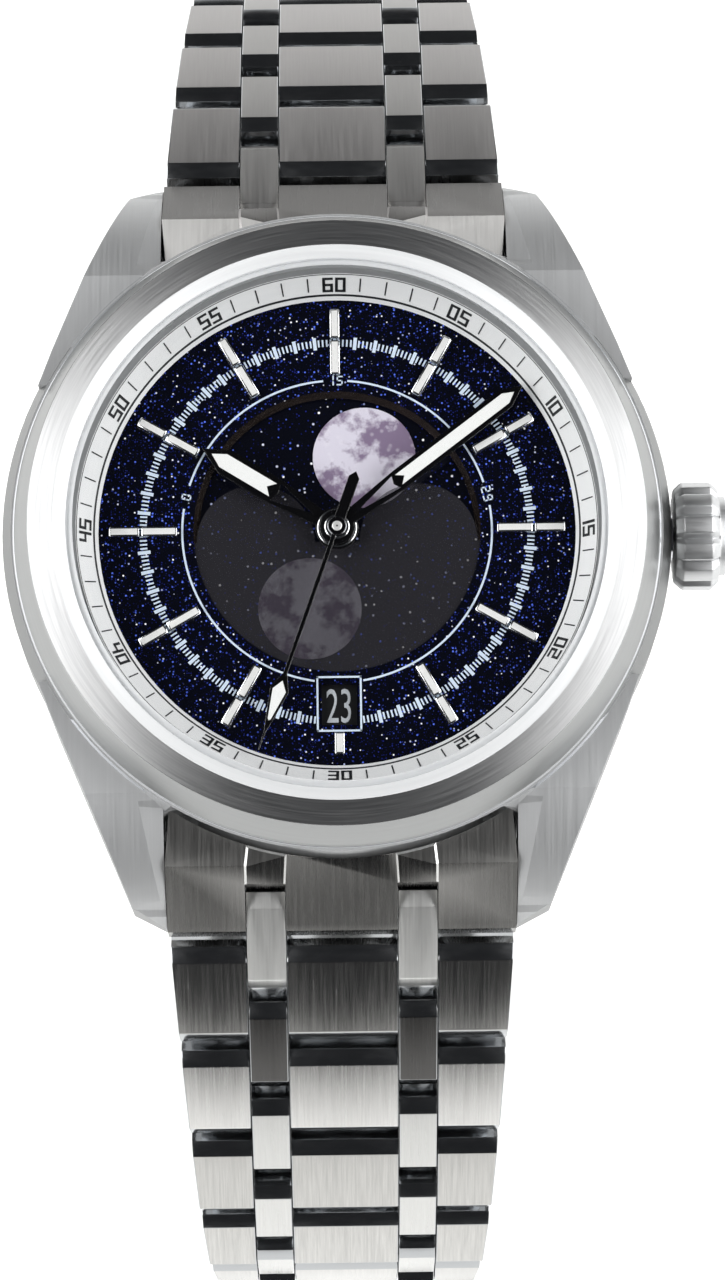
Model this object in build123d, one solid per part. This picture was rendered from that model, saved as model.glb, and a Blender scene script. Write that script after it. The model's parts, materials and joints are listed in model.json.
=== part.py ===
from build123d import *
import math
import os

# A moon phase wristwatch on a tapering five-row steel bracelet, closed.
# Millimetres. +Z looks up out of the dial, +Y points to 12 o'clock, +X to
# the crown, and the origin is the middle of the case back's outer face.

# Fits shared by every piece
run_gap = 0.05
side_gap = 0.05
overrun = 1.0

# Case middle
case_d = 42.0
case_h = 7.9
case_wall = 4.65
case_foot_in = 1.2
case_foot_h = 1.5
case_shoulder_in = 0.6
case_shoulder_h = 1.3

# Case back
back_lap = 0.85
back_h = 1.1
back_notches = 6
back_notch_w = 2.2
back_notch_depth = 0.9
back_notch_h = 0.7

# Lugs, placed from the case's edge and the lugs' tips
lug_reach = 3.2
lug_gap = 22.0
lug_root_in = 11.5
lug_root_side_in = 2.3
lug_tip_w = 2.1
lug_top_drop = 0.25
lug_break_in = 4.4
lug_sag = 1.5
lug_tip_top_z = 1.9
lug_tip_bottom_z = 0.4
lug_foot_in = 1.0
lug_foot_z = 0.9

# Bezel and crystal
bezel_foot_in = 0.7
bezel_slope_in = 1.05
bezel_ring_w = 1.6
bezel_h = 2.5
bezel_bevel_h = 0.3
crystal_lap = 0.5
crystal_h = 1.5

# Movement
movement_h = 5.6
movement_gap = 0.4
calendar_room = 0.1
centre_tube_r = 1.15
centre_tube_h = 0.6
arbor_depth = 1.6
calendar_gap = 0.1
calendar_t = 0.3

# Dial side
dial_gap = 0.25
dial_t = 0.45
dial_clear = 0.05
aperture_r = 9.0
aperture_bevel = 0.35
mask_t = 0.2
mask_sink = 0.05
hump_x = 5.1
hump_y = -0.7
hump_r = 3.7
moon_disc_lap = 0.45
moon_r = 3.24
moon_orbit_r = 5.15
moon_t = 0.08
moon_rest_angle = -20.0
date_in_gap = 0.15
date_w = 2.9
date_window_w = 2.2
date_window_h = 2.6
date_window_bevel = 0.25
chapter_w = 1.35
chapter_h = 1.5
marker_w = 0.65
marker_h = 0.45
marker_outer_gap = 0.65
marker_inner_gap = 1.0
marker_split = 0.1
marker_outer_share = 0.45
marker_six_share = 0.33
marker_count = 12

# Hands, measured from the dial's top face
hand_t = 0.2
hour_z = 0.55
minute_z = 0.9
second_z = 1.22
second_t = 0.13
pipe_proud = 0.07
second_arbor_r = 0.2
cannon_r = 0.5
hour_pipe_r = 0.8
hour_hub_r = 1.35
hour_len = 9.9
hour_w = 1.7
hour_wide_y = 4.7
minute_hub_r = 1.1
minute_tip_gap = 0.15
minute_w = 1.35
minute_wide_y = 4.9
arm_w = 0.42
lume_w_share = 0.56
lume_end_margin = 0.7
notch_depth = 0.45
second_hub_r = 0.62
second_tip_gap = 0.65
second_tail_len = 3.7
second_needle_w = 0.3
second_tail_w = 0.62
second_lozenge_r = 11.1
second_lozenge_w = 0.95
second_lozenge_len = 2.4
hour_rest_angle = -302.0
minute_rest_angle = -52.7
second_rest_angle = -197.5

# Crown, stem and tube
crown_z = 5.3
crown_r = 3.43
crown_groove_depth = 0.5
crown_lobes = 12
crown_lobe_share = 0.58
crown_gap = 0.25
crown_len = 2.8
crown_rim_h = 0.5
crown_rim_share = 0.86
crown_boss_r = 2.5
crown_boss_h = 0.45
crown_bore_depth = 1.4
stem_r = 0.55
stem_in_len = 5.35
tube_r = 1.5

# Spring bars, in from the lugs' tips, and end links, placed from the bars
bar_r = 0.5
bar_tip_in = 4.3
bar_z = 2.8
bar_seat_depth = 1.0
seat_in = 2.1
seat_top_z = 5.0
end_inner_in = 2.7
end_top_z = 8.0
end_mid_out = 1.0
end_mid_z = 6.6
end_edge_h = 2.35
end_bevel = 0.35
end_bottom_z = 1.3
hood_out = 2.0
hood_gap = 0.4

# Bracelet links. The narrow links sit half a pitch behind the wide ones.
pitch = 8.2
row_gap = 0.69
link_t = 3.0
centre_w = 7.0
narrow_w = 2.45
band_end_w = 16.0
near_bevel_len = 0.96
near_bevel_drop = 0.52
far_bevel_len = 1.1
far_bevel_drop = 0.75
slot_floor_gap = 0.1
hinge_out = 2.8
hinge_z = 1.8
# Slope of each link below the dial's plane when the clasp is shut, in degrees
link_angles_12 = (32.0, 42.5, 50.5, 60.0, 96.0, 130.0, 143.0)
link_angles_6 = (42.7, 49.5, 56.5, 68.0, 84.0, 122.0, 150.0)

# Fold-over clasp, laid out on arcs about one centre, in a frame of its own
# that runs between the strands' last hinge pins
clasp_bow_r = 62.0
cover_t = 1.0
cover_drop = 0.5
cover_wall = 0.9
cover_wall_h = 2.4
cover_end_gap = 2.4
fold_eye_r = 0.9
blade_t = 0.8
blade_side = 1.1
tongue_w = 6.0
outer_fold_in = 1.0
outer_blade_in = 0.05
inner_fold_in = 1.5
inner_blade_in = 2.0
inner_fold_back = 9.9
end_block_back = 3.1
end_block_start = 3.0
end_block_len = 6.0
end_block_t = 3.6
button_w = 5.0
button_h = 1.2
button_in = 0.8
button_out = 0.8
button_gap = 0.6
button_back = 17.9

# Heights worked out from the stack above
case_z0 = back_h
case_z1 = case_z0 + case_h
movement_z0 = back_h + movement_gap
movement_z1 = movement_z0 + movement_h
calendar_z0 = movement_z1 + calendar_gap
calendar_z1 = calendar_z0 + calendar_t
dial_z0 = calendar_z1 + dial_gap
dial_z1 = dial_z0 + dial_t
crystal_z0 = dial_z1 + chapter_h
bezel_z1 = case_z1 + bezel_h
hour_z0 = dial_z1 + hour_z
minute_z0 = dial_z1 + minute_z
second_z0 = dial_z1 + second_z
hand_floor_z = movement_z1 - arbor_depth

# Radii from the case's edge inwards, and from the aperture outwards
case_r = case_d / 2
cavity_r = case_r - case_wall
back_r = cavity_r + back_lap
bezel_foot_r = case_r - bezel_foot_in
bezel_top_r = bezel_foot_r - bezel_slope_in
bezel_ring_in_r = bezel_top_r - bezel_ring_w
crystal_r = cavity_r + crystal_lap
dial_r = cavity_r - dial_clear
chapter_in_r = dial_r - chapter_w
marker_outer_r = chapter_in_r - marker_outer_gap
marker_run = marker_outer_r - aperture_r - marker_inner_gap
minute_len = chapter_in_r - minute_tip_gap
second_len = chapter_in_r - second_tip_gap
moon_disc_r = aperture_r + moon_disc_lap
date_in_r = moon_disc_r + date_in_gap
date_out_r = date_in_r + date_w
movement_bore_r = hour_pipe_r + run_gap

# Places along the watch and its crown
lug_tip_y = case_r + lug_reach
bar_y = lug_tip_y - bar_tip_in
seat_y = case_r - seat_in
hinge_y = bar_y + hinge_out
crown_start_x = case_r + crown_gap
stem_in_x = cavity_r - stem_in_len

# Places along a link, measured from its near hinge pin, and across the band
row_len = pitch - row_gap
narrow_s0 = pitch / 4 - row_len / 2
narrow_s1 = pitch / 4 + row_len / 2
wide_s0 = 3 * pitch / 4 - row_len / 2
wide_s1 = 3 * pitch / 4 + row_len / 2
link_count = len(link_angles_12)
band_w = lug_gap - 2 * side_gap
slot_x0 = centre_w / 2
slot_x1 = slot_x0 + narrow_w + 2 * side_gap
cover_w = band_end_w
cover_inside = cover_w - 2 * cover_wall
blade_w = cover_inside - 2 * blade_side


def face_of(points):
    return make_face(Polyline(*points, close=True))


def turned(points):
    """A ring or disc from its half section, points as (radius, height)."""
    return revolve(Plane.XZ * face_of(points), Axis.Z)


def slab(face, z0, height):
    return extrude(Pos(0, 0, z0) * face, height)


def across(points, x0, width):
    """A section given as (y, z) points, extruded along X from x0."""
    return extrude(Plane.YZ.offset(x0) * face_of(points), width)


def rod_z(radius, z0, z1):
    return slab(Circle(radius), z0, z1 - z0)


def rod_x(radius, x0, x1, y=0, z=0):
    return extrude(Plane.YZ.offset(x0) * (Pos(y, z) * Circle(radius)), x1 - x0)


def pipe_z(outer_r, inner_r, z0, z1):
    return slab(Circle(outer_r) - Circle(inner_r), z0, z1 - z0)


def mirrored_x(shape):
    return [shape, mirror(shape, Plane.YZ)]


def opposite(shape):
    return Rot(0, 0, 180) * shape


# Case

def lug():
    """The lug beside the crown on the 12 o'clock side."""
    x0 = lug_gap / 2
    root_x = case_r - lug_root_side_in
    root_y = case_r - lug_root_in
    tip_y = lug_tip_y
    plan = face_of([(x0, root_y), (root_x, root_y), (x0 + lug_tip_w, tip_y), (x0, tip_y)])
    break_y = case_r - lug_break_in
    top_z = case_z1 - lug_top_drop
    top = ThreePointArc((break_y, top_z),
                        ((break_y + tip_y) / 2, (top_z + lug_tip_top_z) / 2 + lug_sag),
                        (tip_y, lug_tip_top_z))
    rest = Polyline((tip_y, lug_tip_top_z), (tip_y, lug_tip_bottom_z),
                    (case_r - lug_foot_in, lug_foot_z), (root_y, case_z0 + case_foot_h),
                    (root_y, top_z), (break_y, top_z))
    side = extrude(Plane.YZ.offset(x0) * make_face(Curve() + [top, rest]), root_x - x0)
    return slab(plan, 0, case_z1) & side


def case_middle():
    foot_r = case_r - case_foot_in
    shoulder_r = case_r - case_shoulder_in
    body = turned([(0, case_z0), (foot_r, case_z0), (case_r, case_z0 + case_foot_h),
                   (case_r, case_z1 - case_shoulder_h), (shoulder_r, case_z1), (0, case_z1)])
    for one in mirrored_x(lug()):
        body += one
        body += mirror(one, Plane.XZ)
    body -= rod_z(cavity_r, case_z0 - overrun, case_z1 + overrun)
    seat = across([(seat_y, 0), (lug_tip_y, 0), (lug_tip_y, seat_top_z), (seat_y, seat_top_z)],
                  -lug_gap / 2, lug_gap)
    body -= seat
    body -= opposite(seat)
    return body - rod_x(tube_r, 0, case_r + overrun, 0, crown_z)


def case_back():
    plate = rod_z(back_r, 0, back_h)
    notch = Pos(back_r, 0, 0) * Box(2 * back_notch_depth, back_notch_w, 2 * back_notch_h)
    for place in PolarLocations(0, back_notches):
        plate -= place * notch
    return plate


def bezel():
    return turned([(crystal_r, case_z1), (bezel_foot_r, case_z1), (bezel_top_r, bezel_z1),
                   (bezel_ring_in_r, bezel_z1), (crystal_r, bezel_z1 - bezel_bevel_h)])


def crystal():
    return rod_z(crystal_r, crystal_z0, crystal_z0 + crystal_h)


# Movement

def movement():
    """The movement in its holder, whose rim carries the dial."""
    body = rod_z(cavity_r - run_gap, movement_z0, dial_z0)
    body -= rod_z(date_out_r + calendar_room, movement_z1, dial_z1)
    body += rod_z(centre_tube_r, movement_z1, movement_z1 + centre_tube_h)
    body -= rod_z(movement_bore_r, hand_floor_z, dial_z1)
    reach = case_r - stem_in_x + side_gap
    channel = Box(reach, 2 * (stem_r + run_gap), 2 * (stem_r + run_gap))
    return body - Pos(case_r - reach / 2, 0, crown_z) * channel


# Dial side

def aperture_mask():
    low = Pos(0, hump_y - aperture_r) * Rectangle(2 * aperture_r, 2 * aperture_r)
    shape = low + Pos(hump_x, hump_y) * Circle(hump_r) + Pos(-hump_x, hump_y) * Circle(hump_r)
    return shape & Circle(aperture_r)


def moon_mask():
    top = dial_z1 - mask_sink
    plate = slab(aperture_mask(), top - mask_t, mask_t)
    return plate - rod_z(movement_bore_r + side_gap, 0, case_z1)


def date_window_y():
    return -(date_in_r + date_w / 2)


def dial():
    plate = rod_z(dial_r, dial_z0, dial_z1) - rod_z(aperture_r, 0, case_z1)
    window = Pos(0, date_window_y()) * Rectangle(date_window_w, date_window_h)
    plate -= slab(window, 0, case_z1)
    wide = date_window_w + 2 * date_window_bevel
    tall = date_window_h + 2 * date_window_bevel
    step = Pos(0, date_window_y()) * Rectangle(wide, tall)
    return plate - slab(step, dial_z1 - date_window_bevel, case_z1)


def aperture_ring():
    """The sloped rim let into the aperture's open, upper part."""
    low_z = dial_z0
    rim = turned([(aperture_r - aperture_bevel, low_z), (aperture_r, low_z), (aperture_r, dial_z1)])
    cut = slab(aperture_mask(), 0, case_z1)
    return rim - cut


def moon_disc():
    return pipe_z(moon_disc_r, centre_tube_r + run_gap, calendar_z0, calendar_z1)


def moons():
    turn = Rot(0, 0, moon_rest_angle)
    one = turn * Pos(0, moon_orbit_r, calendar_z1) * extrude(Circle(moon_r), moon_t)
    return [one, opposite(one)]


def date_ring():
    return pipe_z(date_out_r, date_in_r, calendar_z0, calendar_z1)


def chapter_ring():
    return turned([(chapter_in_r, dial_z1), (dial_r, dial_z1), (dial_r, crystal_z0)])


def baton(outer_r, length):
    face = Pos(0, outer_r - length / 2) * Rectangle(marker_w, length)
    return slab(face, dial_z1, marker_h)


def hour_markers():
    outer_len = marker_run * marker_outer_share
    inner_len = marker_run - outer_len - marker_split
    pieces = [opposite(baton(marker_outer_r, marker_run * marker_six_share))]
    for hour in range(marker_count):
        if 2 * hour == marker_count:
            continue
        turn = Rot(0, 0, -360 * hour / marker_count)
        pieces.append(turn * baton(marker_outer_r, outer_len))
        pieces.append(turn * baton(marker_outer_r - outer_len - marker_split, inner_len))
    return pieces


# Hands

def hand_outline(hub_r, length, width, wide_y):
    """A sword with an open triangle between its hub and its lume."""
    half = width / 2
    sword = face_of([(-arm_w, 0), (-half, wide_y), (-half, length - width), (0, length),
                     (half, length - width), (half, wide_y), (arm_w, 0)])
    inner = half - arm_w / 2
    window = face_of([(0, hub_r + arm_w), (-inner, wide_y - arm_w / 2), (0, wide_y - arm_w),
                      (inner, wide_y - arm_w / 2)])
    return sword + Circle(hub_r) - window


def lume_outline(length, width, wide_y):
    half = width * lume_w_share / 2
    tip = length - lume_end_margin
    return face_of([(0, wide_y + notch_depth), (-half, wide_y), (-half, tip - width / 2), (0, tip),
                    (half, tip - width / 2), (half, wide_y)])


def sword_hand(hub_r, length, width, wide_y, bore_r, z0, angle):
    face = hand_outline(hub_r, length, width, wide_y) - Circle(bore_r)
    face -= lume_outline(length, width, wide_y)
    return Rot(0, 0, angle) * slab(face, z0, hand_t)


def sword_lume(length, width, wide_y, z0, angle):
    return Rot(0, 0, angle) * slab(lume_outline(length, width, wide_y), z0, hand_t)


def hand_pipe(outer_r, inner_r, z0):
    return pipe_z(outer_r, inner_r, hand_floor_z + side_gap, z0 + hand_t + pipe_proud)


def hour_hand():
    return sword_hand(hour_hub_r, hour_len, hour_w, hour_wide_y, hour_pipe_r, hour_z0,
                      hour_rest_angle)


def minute_hand():
    return sword_hand(minute_hub_r, minute_len, minute_w, minute_wide_y, cannon_r, minute_z0,
                      minute_rest_angle)


def lozenge(share):
    half = second_lozenge_w / 2 * share
    reach = second_lozenge_len / 2 * share
    return Pos(0, second_lozenge_r) * face_of([(0, -reach), (half, 0), (0, reach), (-half, 0)])


def second_hand():
    half = second_needle_w / 2
    tail = second_tail_w / 2
    face = face_of([(-half, 0), (0, second_len), (half, 0)]) + Circle(second_hub_r)
    face += face_of([(-tail, 0), (-tail, tail - second_tail_len), (0, -second_tail_len),
                     (tail, tail - second_tail_len), (tail, 0)])
    face += lozenge(1)
    face -= Circle(second_arbor_r)
    face -= lozenge(lume_w_share)
    return Rot(0, 0, second_rest_angle) * slab(face, second_z0, second_t)


def second_lume():
    return Rot(0, 0, second_rest_angle) * slab(lozenge(lume_w_share), second_z0, second_t)


def second_arbor():
    return rod_z(second_arbor_r, hand_floor_z + side_gap, second_z0 + second_t + pipe_proud)


# Crown

def lobe_outline():
    """Flat-topped lobes with sloped flanks, round the crown."""
    step = 2 * math.pi / crown_lobes
    root_r = crown_r - crown_groove_depth
    points = []
    for lobe in range(crown_lobes):
        middle = lobe * step
        for radius, side in ((root_r, -1), (crown_r, -crown_lobe_share), (crown_r, crown_lobe_share)):
            angle = middle + side * step / 2
            points.append((radius * math.cos(angle), radius * math.sin(angle)))
    return face_of(points)


def crown():
    end = crown_start_x + crown_len
    full, small = lobe_outline(), scale(lobe_outline(), crown_rim_share)
    rims = [(crown_start_x, small), (crown_start_x + crown_rim_h, full), (end - crown_rim_h, full),
            (end, small)]
    lobed = loft([Plane.YZ.offset(x) * outline for x, outline in rims], ruled=True)
    lobed += rod_x(crown_boss_r, end, end + crown_boss_h)
    lobed -= rod_x(stem_r + run_gap, crown_start_x, crown_start_x + crown_bore_depth)
    return Pos(0, 0, crown_z) * lobed


def winding_stem():
    return rod_x(stem_r, stem_in_x, crown_start_x + crown_bore_depth - side_gap, 0, crown_z)


def crown_tube():
    tube_end = crown_start_x - 2 * side_gap
    tube = rod_x(tube_r, cavity_r, tube_end, 0, crown_z)
    return tube - rod_x(stem_r + run_gap, 0, tube_end + overrun, 0, crown_z)


# Bracelet

def sloped(y, z, slope, shape):
    """Puts a link's own frame, hinge pin at 0 and +Y down the band, in place."""
    return Pos(0, y, z) * Rot(-slope, 0, 0) * shape


def link_section(s0, s1):
    half = link_t / 2
    return [(s0, -half), (s1, -half), (s1, half - far_bevel_drop), (s1 - far_bevel_len, half),
            (s0 + near_bevel_len, half), (s0, half - near_bevel_drop)]


def band_width_at(along):
    return band_w - (band_w - band_end_w) * along / (link_count * pitch)


def wide_row(number):
    """The outer, centre and outer links of one row."""
    start = number * pitch
    near = band_width_at(start + wide_s0) / 2
    far = band_width_at(start + wide_s1) / 2
    centre = Pos(0, (wide_s0 + wide_s1) / 2) * Rectangle(centre_w, row_len)
    outer = face_of([(slot_x1, wide_s0), (near, wide_s0), (far, wide_s1), (slot_x1, wide_s1)])
    plan = centre + outer + mirror(outer, Plane.YZ)
    bars = across(link_section(wide_s0, wide_s1), -band_w / 2, band_w)
    return bars & slab(plan, -link_t, 2 * link_t)


def narrow_link():
    """A link whose underside is rounded about its hinge, to turn in the slot."""
    half = link_t / 2
    reach = -narrow_s0
    points = link_section(narrow_s0, narrow_s1)
    under = (-math.sqrt(reach ** 2 - half ** 2), -half)
    middle = math.pi - (math.pi / 2 - math.acos(half / reach)) / 2
    bend = ThreePointArc(under, (reach * math.cos(middle), -reach * math.sin(middle)), (-reach, 0))
    edge = Polyline((-reach, 0), points[-1], *points[-2:0:-1], under)
    section = make_face(Curve() + [bend, edge])
    return extrude(Plane.YZ.offset(slot_x0 + side_gap) * section, narrow_w)


def bracelet_link(number):
    return [wide_row(number)] + mirrored_x(narrow_link())


def hinge_places(angles):
    """(y, z) of each hinge pin down a strand, the last one the clasp's."""
    y, z = hinge_y, hinge_z
    places = [(y, z)]
    for slope in angles:
        y += pitch * math.cos(math.radians(slope))
        z -= pitch * math.sin(math.radians(slope))
        places.append((y, z))
    return places


def placed_link(number, angles):
    y, z = hinge_places(angles)[number]
    return [sloped(y, z, angles[number], piece) for piece in bracelet_link(number)]


def end_link():
    """The 12 o'clock end link, with two hooded slots for the first narrow links."""
    tip_y = hinge_y + wide_s1 - pitch
    half = link_t / 2
    inner_y = bar_y - end_inner_in
    shelf_z = seat_top_z - side_gap
    edge_z = hinge_z - half + end_edge_h
    section = [(seat_y + side_gap, end_bottom_z), (tip_y, hinge_z - half), (tip_y, edge_z - end_bevel),
               (tip_y - end_bevel, edge_z), (bar_y + end_mid_out, end_mid_z), (inner_y, end_top_z),
               (inner_y, shelf_z), (seat_y + side_gap, shelf_z)]
    block = across(section, -band_w / 2, band_w)
    block -= rod_z(case_r + side_gap, shelf_z, case_z1 + overrun)
    block -= rod_x(bar_r + run_gap, -lug_gap, lug_gap, bar_y, bar_z)
    floor_y = hinge_y - math.hypot(narrow_s0, half - near_bevel_drop) - slot_floor_gap
    hood_y = bar_y + hood_out
    hood_z = hinge_z + half + hood_gap
    slot = across([(floor_y, 0), (tip_y + overrun, 0), (tip_y + overrun, case_z1), (hood_y, case_z1),
                   (hood_y, hood_z), (floor_y, hood_z)], slot_x0, slot_x1 - slot_x0)
    for cut in mirrored_x(slot):
        block -= cut
    return block


def spring_bars():
    reach = lug_gap / 2 + bar_seat_depth
    bar = rod_x(bar_r, -reach, reach, bar_y, bar_z)
    return [bar, opposite(bar)]


# Clasp

def clasp_ends():
    """(y, z) of the last hinge pins of the 12 and 6 o'clock strands."""
    y, z = hinge_places(link_angles_6)[-1]
    return hinge_places(link_angles_12)[-1], (-y, z)


def clasp_half():
    (y12, z12), (y6, z6) = clasp_ends()
    return math.hypot(y12 - y6, z12 - z6) / 2


def clasp_tilt():
    (y12, z12), (y6, z6) = clasp_ends()
    return math.atan2(z12 - z6, y12 - y6)


def on_watch(y, z):
    """A (y, z) place of the clasp's own frame, in the watch's."""
    (y12, z12), (y6, z6) = clasp_ends()
    tilt = clasp_tilt()
    return ((y12 + y6) / 2 + y * math.cos(tilt) - z * math.sin(tilt),
            (z12 + z6) / 2 + y * math.sin(tilt) + z * math.cos(tilt))


def clasped(shape):
    """Puts a clasp piece, made in the clasp's own frame, between the strands."""
    y, z = on_watch(0, 0)
    return Pos(0, y, z) * Rot(math.degrees(clasp_tilt()), 0, 0) * shape


def clasp_centre_z():
    return math.sqrt(clasp_bow_r ** 2 - clasp_half() ** 2)


def bow_band(inner_r, outer_r, y0, y1, width):
    """A strip of the clasp's bow between two y places, centred on X."""
    zc = clasp_centre_z()
    a0, a1 = math.asin(y0 / clasp_bow_r), math.asin(y1 / clasp_bow_r)
    middle = (a0 + a1) / 2

    def point(radius, angle):
        return (radius * math.sin(angle), zc - radius * math.cos(angle))

    outer = ThreePointArc(point(outer_r, a0), point(outer_r, middle), point(outer_r, a1))
    inner = ThreePointArc(point(inner_r, a1), point(inner_r, middle), point(inner_r, a0))
    sides = [Line(point(outer_r, a1), point(inner_r, a1)), Line(point(inner_r, a0), point(outer_r, a0))]
    section = make_face(Curve() + [outer, inner] + sides)
    return extrude(Plane.YZ.offset(-width / 2) * section, width)


def clasp_y(back):
    """A place on the bow, the given length back from the 12 o'clock strand's last pin."""
    return clasp_half() - back


def outer_fold_y():
    return clasp_y(end_block_back + end_block_len + end_block_start)


def bow_point(y, inward):
    """(y, z) on the bow, the given length in from its hinge line."""
    angle = math.asin(y / clasp_bow_r)
    radius = clasp_bow_r - inward
    return radius * math.sin(angle), clasp_centre_z() - radius * math.cos(angle)


def clasp_cover():
    skin_r = clasp_bow_r + link_t / 2 - cover_drop
    plate_r = skin_r - cover_t
    start = cover_end_gap - clasp_half()
    end = outer_fold_y() + fold_eye_r + side_gap
    shell = bow_band(plate_r - cover_wall_h, skin_r, start, end, cover_w)
    shell -= bow_band(plate_r - cover_wall_h - overrun, plate_r, start - overrun, end + overrun,
                      cover_inside)
    tab = bow_band(plate_r, skin_r, -clasp_half(), start, narrow_w)
    tab += rod_x(link_t / 2 - cover_drop, -narrow_w / 2, narrow_w / 2, -clasp_half(), 0)
    for middle_x in (-1, 1):
        shell += Pos(middle_x * (slot_x0 + slot_x1) / 2, 0, 0) * tab
    return shell - button_slot()


def button_section(grow):
    button_y = clasp_y(button_back)
    y, z = bow_point(-button_y, button_in)
    half_w, half_h = button_w / 2 + grow, button_h / 2 + grow
    tilt = math.degrees(math.asin(-button_y / clasp_bow_r))
    return Pos(y, z) * Rot(0, 0, tilt) * Rectangle(2 * half_w, 2 * half_h)


def button_slot():
    return extrude(Plane.YZ.offset(-cover_w) * button_section(run_gap), 2 * cover_w)


def clasp_button():
    """The release button on the crown's side."""
    inner_x = blade_w / 2 + button_gap
    return extrude(Plane.YZ.offset(inner_x) * button_section(0), cover_w / 2 + button_out - inner_x)


def outer_blade():
    """The blade under the cover, with a barrel at its fold and a tongue at its other end."""
    plate_r = clasp_bow_r - outer_blade_in
    fold_y, fold_z = bow_point(outer_fold_y(), outer_fold_in)
    turn_y, turn_z = bow_point(-clasp_y(inner_fold_back), inner_fold_in)
    clear = fold_eye_r + 2 * side_gap
    barrel = cover_inside / 2 - side_gap
    blade = bow_band(plate_r - blade_t, plate_r, turn_y + clear, fold_y, blade_w)
    blade += bow_band(plate_r - blade_t, plate_r, turn_y, turn_y + clear, tongue_w)
    blade += rod_x(fold_eye_r, -barrel, barrel, fold_y, fold_z)
    return blade + rod_x(fold_eye_r, -tongue_w / 2, tongue_w / 2, turn_y, turn_z)


def inner_blade():
    """The blade against the wrist, with a forked barrel and the 12 o'clock strand's block."""
    plate_r = clasp_bow_r - inner_blade_in
    turn_y, turn_z = bow_point(-clasp_y(inner_fold_back), inner_fold_in)
    block_y = clasp_y(end_block_back + end_block_len)
    blade = bow_band(plate_r - blade_t, plate_r, turn_y, block_y + side_gap, blade_w)
    blade += bow_band(plate_r - blade_t, plate_r - blade_t + end_block_t, block_y,
                      block_y + end_block_len, cover_w)
    blade += rod_x(fold_eye_r, -blade_w / 2, blade_w / 2, turn_y, turn_z)
    gap = tongue_w + 2 * side_gap
    clear = fold_eye_r + 2 * side_gap
    return blade - Pos(0, turn_y, turn_z) * Box(gap, 2 * clear, 4 * fold_eye_r)


def nodes():
    made = {
        "case_middle": case_middle(),
        "case_back": case_back(),
        "bezel": bezel(),
        "crystal": crystal(),
        "chapter_ring": chapter_ring(),
        "dial": dial(),
        "hour_markers": hour_markers(),
        "aperture_ring": aperture_ring(),
        "moon_mask": moon_mask(),
        "moon_disc": moon_disc(),
        "moons": moons(),
        "date_ring": date_ring(),
        "movement": movement(),
        "hour_hand": hour_hand(),
        "hour_lume": sword_lume(hour_len, hour_w, hour_wide_y, hour_z0, hour_rest_angle),
        "hour_pipe": hand_pipe(hour_pipe_r, cannon_r + run_gap, hour_z0),
        "minute_hand": minute_hand(),
        "minute_lume": sword_lume(minute_len, minute_w, minute_wide_y, minute_z0, minute_rest_angle),
        "cannon_pinion": hand_pipe(cannon_r, second_arbor_r + run_gap, minute_z0),
        "second_hand": second_hand(),
        "second_lume": second_lume(),
        "second_arbor": second_arbor(),
        "crown": crown(),
        "winding_stem": winding_stem(),
        "crown_tube": crown_tube(),
        "spring_bars": spring_bars(),
        "end_link_12": end_link(),
        "end_link_6": opposite(end_link()),
        "clasp_cover": clasped(clasp_cover()),
        "clasp_outer_blade": clasped(outer_blade()),
        "clasp_inner_blade": clasped(inner_blade()),
        "clasp_button_right": clasped(clasp_button()),
        "clasp_button_left": clasped(mirror(clasp_button(), Plane.YZ)),
    }
    for number in range(link_count):
        made[f"link_12_{number + 1}"] = placed_link(number, link_angles_12)
        made[f"link_6_{number + 1}"] = [opposite(piece) for piece in placed_link(number, link_angles_6)]
    return made


os.makedirs("parts", exist_ok=True)
for name, shape in nodes().items():
    if isinstance(shape, list):
        solids = [solid for piece in shape for solid in piece.solids()]
    else:
        solids = shape.solids()
    export_step(Compound(children=solids), f"parts/{name}.step")
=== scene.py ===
import json
import math

import bmesh
import bpy
from mathutils import Matrix, Vector


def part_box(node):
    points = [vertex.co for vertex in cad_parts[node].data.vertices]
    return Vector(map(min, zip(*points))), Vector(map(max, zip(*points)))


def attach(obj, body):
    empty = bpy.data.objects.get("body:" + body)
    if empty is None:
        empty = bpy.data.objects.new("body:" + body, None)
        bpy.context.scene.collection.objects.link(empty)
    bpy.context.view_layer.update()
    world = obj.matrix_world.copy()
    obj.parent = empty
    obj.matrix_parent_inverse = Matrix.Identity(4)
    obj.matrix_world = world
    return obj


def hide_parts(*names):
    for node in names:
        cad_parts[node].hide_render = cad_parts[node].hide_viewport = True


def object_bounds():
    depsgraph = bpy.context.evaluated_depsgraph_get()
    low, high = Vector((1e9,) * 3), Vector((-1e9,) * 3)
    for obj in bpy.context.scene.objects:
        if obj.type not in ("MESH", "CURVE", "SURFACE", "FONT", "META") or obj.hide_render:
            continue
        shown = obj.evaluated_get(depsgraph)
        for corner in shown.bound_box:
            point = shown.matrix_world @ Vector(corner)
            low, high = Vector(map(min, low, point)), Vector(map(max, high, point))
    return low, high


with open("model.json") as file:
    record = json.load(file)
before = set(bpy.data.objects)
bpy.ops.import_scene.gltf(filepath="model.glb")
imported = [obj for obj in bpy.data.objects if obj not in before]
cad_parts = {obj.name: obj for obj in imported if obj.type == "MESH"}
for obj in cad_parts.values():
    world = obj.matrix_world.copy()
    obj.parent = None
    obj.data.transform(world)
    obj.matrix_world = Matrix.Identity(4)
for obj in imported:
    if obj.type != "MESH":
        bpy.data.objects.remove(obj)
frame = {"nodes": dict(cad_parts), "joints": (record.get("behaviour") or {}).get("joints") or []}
cad_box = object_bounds()
nodes = frame["nodes"]


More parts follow.
